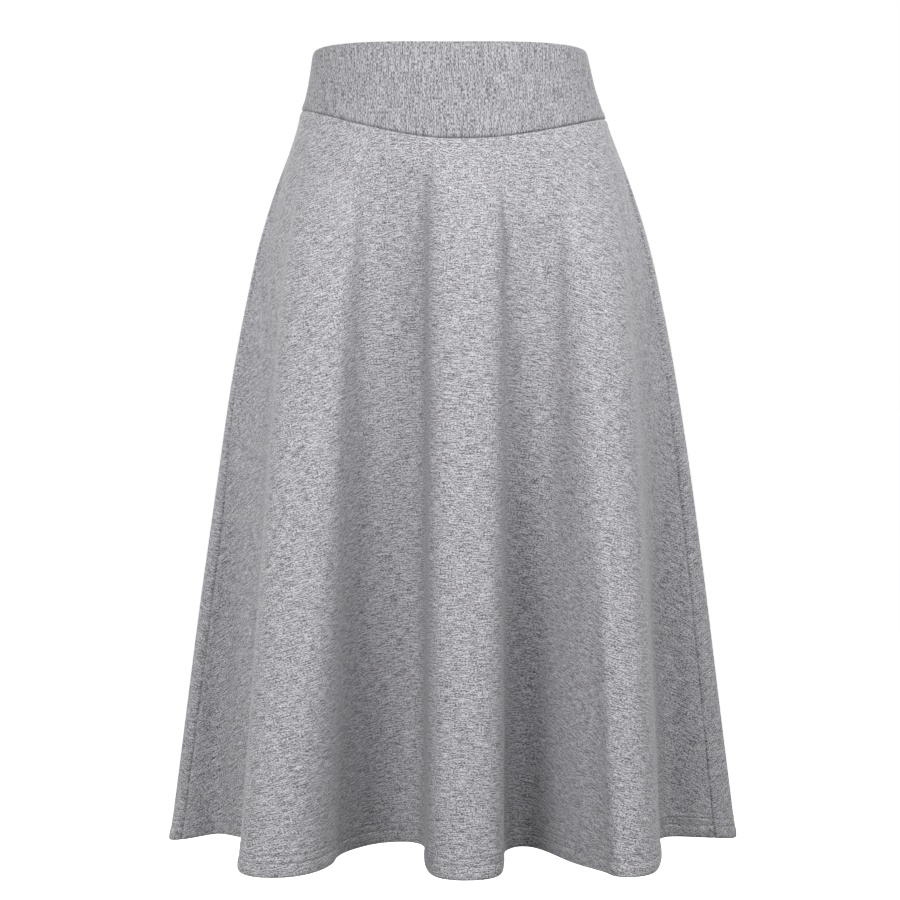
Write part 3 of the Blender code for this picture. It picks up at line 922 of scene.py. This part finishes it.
def waist_strip(name, first_turn, last_turn):
    """Down from the waist seam: the seam's level, plus a width over the metres in one level."""
    turn = np.linspace(first_turn + WAIST_MARGIN, last_turn - WAIST_MARGIN, WAIST_COLUMNS)[None]
    speed = np.linalg.norm(form(turn, BAND_SEAM + STEP) - form(turn, BAND_SEAM), axis=-1) / STEP
    across = STRIP_LINES[:, None] + np.zeros_like(turn)
    level = BAND_SEAM + (across * ALLOWANCE + STRIP_START) / speed
    return inside_strip(name, turn + 0 * across, level, across)


strips = {strip.name: strip for strip in (
    side_strip("right_side_allowance", RIGHT_SEAM),
    side_strip("left_side_allowance", FULL_TURN),
    waist_strip("front_waist_allowance", LEFT_SEAM, RIGHT_SEAM),
    waist_strip("back_waist_allowance", RIGHT_SEAM, FULL_TURN),
)}
print(len(strips), "seam allowances inside")

# %% [markdown]
# ## What each sheet was cut to
#
# The table of sheets gives each one's flat size, how it is held, what carries it and its flat
# area; the front panel's size and area are printed here.

# %% The sheets
flat_size, _, _, flat_area = SHEETS["front_panel"]
print("flat cut of a panel:", flat_size, "m,", flat_area, "square metres")

# %% [markdown]
# ## Studio
#
# The background is white paper, and the skirt hangs clear of the floor. The light comes from
# large soft lamps in front and at both sides, so that the flutes' faces are bright and the troughs
# between them fall into shade. Two more stand a little behind the skirt and lighten its side
# edges, and the last two light its back.

# %% Floor and backdrop
FLOOR_HEIGHT = -1.04
FLOOR_REACH = 300.0         # from the middle to each edge
FLOOR_PAINT = 0.9           # how pale its paint is, and how rough
FLOOR_GLOW = 1.0
EVEN_LIGHT = 0.01           # the strength of the light from all round
WHITE = (1, 1, 1, 1)


def floor():
    """A pale floor, so wide that its far edge meets the white backdrop at eye level. Its glow
    makes it as white as the backdrop, and doesn't light the skirt."""
    mesh = bpy.data.meshes.new("studio_floor")
    corners = FLOOR_REACH * np.array([(-1, -1), (1, -1), (1, 1), (-1, 1)])
    mesh.from_pydata([(x, y, FLOOR_HEIGHT) for x, y in corners], [], [(0, 1, 2, 3)])
    material = bpy.data.materials.new("studio_floor_paint")
    material.use_nodes = True
    shader = material.node_tree.nodes["Principled BSDF"]
    shader.inputs["Base Color"].default_value = (FLOOR_PAINT, FLOOR_PAINT, FLOOR_PAINT, 1)
    shader.inputs["Roughness"].default_value = FLOOR_PAINT
    shader.inputs["Emission Color"].default_value = WHITE
    shader.inputs["Emission Strength"].default_value = FLOOR_GLOW
    mesh.materials.append(material)
    ground = bpy.data.objects.new("studio_floor", mesh)
    bpy.context.scene.collection.objects.link(ground)
    ground.visible_diffuse = False


def white_backdrop():
    """White where the camera sees past the skirt, and a faint even light from all round."""
    world = bpy.data.worlds.new("studio_world")
    bpy.context.scene.world = world
    world.use_nodes = True
    tree = world.node_tree
    even = tree.nodes["Background"]
    even.inputs["Color"].default_value = WHITE
    even.inputs["Strength"].default_value = EVEN_LIGHT
    seen = tree.nodes.new("ShaderNodeBackground")
    seen.inputs["Color"].default_value = WHITE
    path = tree.nodes.new("ShaderNodeLightPath")
    choose = tree.nodes.new("ShaderNodeMixShader")
    tree.links.new(path.outputs["Is Camera Ray"], choose.inputs["Fac"])
    tree.links.new(even.outputs[0], choose.inputs[1])
    tree.links.new(seen.outputs[0], choose.inputs[2])
    tree.links.new(choose.outputs[0], tree.nodes["World Output"].inputs["Surface"])


floor()
white_backdrop()
bpy.context.scene.view_settings.view_transform = "Standard"
print("the floor lies", -FLOOR_HEIGHT, "m below the waist")

# %% Lamps
LAMP_TARGET = (0.0, 0.0, -0.25)
LAMPS = {       # azimuth and elevation in degrees, distance and size in metres, watts
    "front_left": (-25, 8, 2.0, 1.0, 26.5),
    "front_right": (25, 8, 2.0, 1.0, 8.0),
    "high_right": (45, 40, 2.0, 1.0, 18.0),
    "side_right": (65, 40, 2.0, 1.0, 8.0),
    "side_left": (-85, 8, 2.0, 1.0, 7.5),
    "near_front": (0, 35, 1.1, 0.6, 3.0),
    "rim_left": (-115, 20, 2.0, 1.0, 14.0),
    "rim_right": (115, 20, 2.0, 1.0, 12.0),
    "back_left": (-150, 15, 2.0, 1.0, 15.0),
    "back_right": (150, 15, 2.0, 1.0, 17.0),
}


def lamp(name, azimuth, elevation, distance, size, watts):
    """A round soft lamp aimed at the skirt: azimuth 0 is in front, turning to the right."""
    data = bpy.data.lights.new(name, "AREA")
    data.shape = "DISK"
    data.size = size
    data.energy = watts
    light = bpy.data.objects.new(name, data)
    bpy.context.scene.collection.objects.link(light)
    a, e = math.radians(azimuth), math.radians(elevation)
    way = np.array([math.sin(a) * math.cos(e), -math.cos(a) * math.cos(e), math.sin(e)])
    light.location = np.array(LAMP_TARGET) + distance * way
    light.rotation_euler = (math.radians(90) - e, 0, a)


for name, row in LAMPS.items():
    lamp(name, *row)
print(len(LAMPS), "lamps,", round(sum(row[-1] for row in LAMPS.values()), 1), "W in all")
